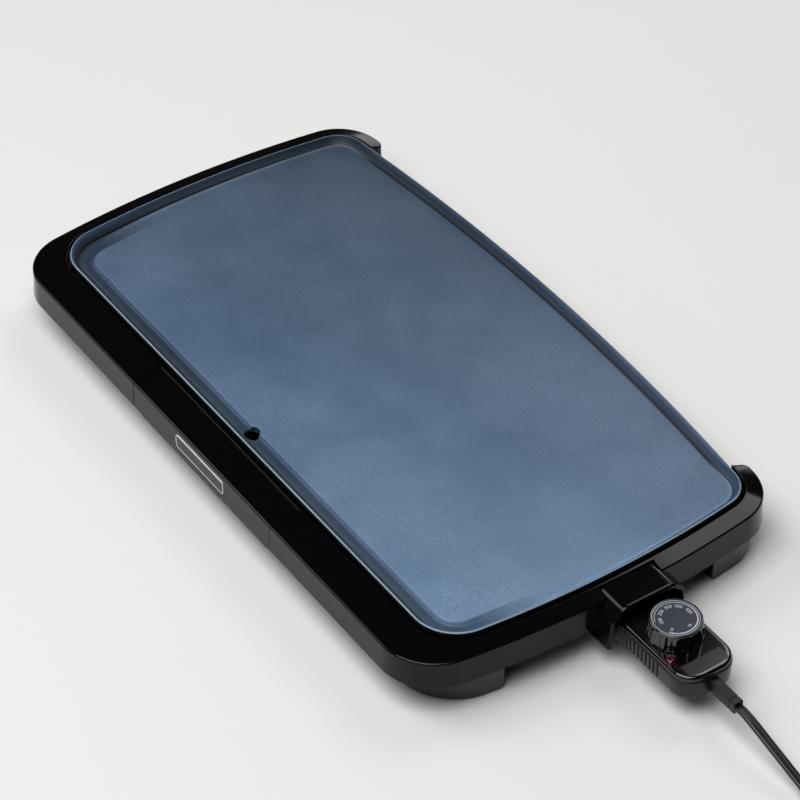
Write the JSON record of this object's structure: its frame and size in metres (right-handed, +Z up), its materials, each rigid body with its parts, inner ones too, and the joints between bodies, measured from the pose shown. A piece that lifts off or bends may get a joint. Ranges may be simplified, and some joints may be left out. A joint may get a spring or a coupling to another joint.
{
  "type": "electric griddle",
  "caption": "Flat electric griddle with a non-stick plate in a black frame, a pull-out drip tray at the front and a plug-in temperature probe with a dial and mains lead.",
  "frame": {"origin": "on the table, under the middle of the griddle with its probe plugged in (lead, coil and plug left out)", "axes": "+Z up, +X towards the temperature probe, -Y towards the drip tray's front"},
  "size_m": [0.888, 0.3216, 0.053],
  "materials": {
    "nonstick_aluminium": "cast aluminium with a satin blue-grey non-stick coating",
    "element_sheath": "dull oxidised alloy sheath",
    "zinc_steel": "folded zinc-plated sheet steel",
    "steatite": "unglazed ceramic insulator, matte",
    "nickel_pin": "bright nickel plate",
    "screw_steel": "zinc-plated screws",
    "frame_black": "high-gloss black phenolic moulding",
    "leg_black": "gloss black phenolic moulding",
    "pad_rubber": "matte black silicone rubber",
    "badge_silver": "satin silver foil, blank",
    "probe_gloss": "high-gloss black moulding",
    "probe_matte": "satin black ribbed moulding",
    "rod_steel": "polished stainless steel",
    "contact_brass": "bare drawn brass",
    "blade_copper": "spring copper alloy",
    "contact_silver": "silver contact rivet",
    "lamp_glass": "clear glass neon bulb",
    "lens_red": "translucent dark red lens",
    "relief_pvc": "black flexible PVC",
    "knob_black": "gloss black fluted moulding",
    "dial_print": "dark navy disc with a printed white scale",
    "cord_pvc": "black flexible PVC",
    "tie_black": "black coated wire tie"
  },
  "bodies": {
    "base": {"griddle_plate": "nonstick_aluminium", "heating_element": "element_sheath", "terminal_bracket": "zinc_steel", "terminal_insulators": "steatite", "terminal_pins": "nickel_pin", "bracket_screws": "screw_steel", "base_frame": "frame_black", "socket_guard": "frame_black", "guard_screws": "screw_steel", "tray_runner_left": "zinc_steel", "tray_runner_right": "zinc_steel", "runner_screws": "screw_steel", "plate_screws": "screw_steel", "leg_front_left": "leg_black", "leg_front_right": "leg_black", "leg_back_left": "leg_black", "leg_back_right": "leg_black", "leg_screws": "screw_steel", "foot_pad_front_left": "pad_rubber", "foot_pad_front_right": "pad_rubber", "foot_pad_back_left": "pad_rubber", "foot_pad_back_right": "pad_rubber"},
    "tray": {"drip_tray": "frame_black", "tray_badge": "badge_silver"},
    "probe": {"probe_top_cover": "probe_gloss", "probe_bottom_cover": "probe_matte", "probe_screws": "screw_steel", "sensor_rod": "rod_steel", "bimetal_strip": "contact_brass", "contact_sleeves": "contact_brass", "thermostat_base": "steatite", "fixed_blade": "blade_copper", "blade_spacer": "steatite", "moving_blade": "blade_copper", "contact_rivets": "contact_silver", "neon_lamp": "lamp_glass", "pilot_lens": "lens_red", "strain_relief": "relief_pvc", "cord_run": "cord_pvc", "cord_coil": "cord_pvc", "cord_tail": "cord_pvc", "cord_tie": "tie_black", "plug_body": "cord_pvc", "plug_blades": "contact_brass"},
    "dial": {"dial_knob": "knob_black", "dial_plate": "dial_print", "dial_shaft": "rod_steel"}
  },
  "joints": [
    {"name": "tray_slide", "type": "slide", "parent": "base", "child": "tray", "axis": [0, -1, 0], "range_m": [0, 0.13]},
    {"name": "probe_slide", "type": "slide", "parent": "base", "child": "probe", "axis": [1, 0, 0], "range_m": [0, 0.125]},
    {"name": "dial_turn", "type": "hinge", "parent": "probe", "child": "dial", "pos_m": [0.274, 0.01774, 0.04], "axis": [0, 0, -1], "range_deg": [0, 290]}
  ]
}
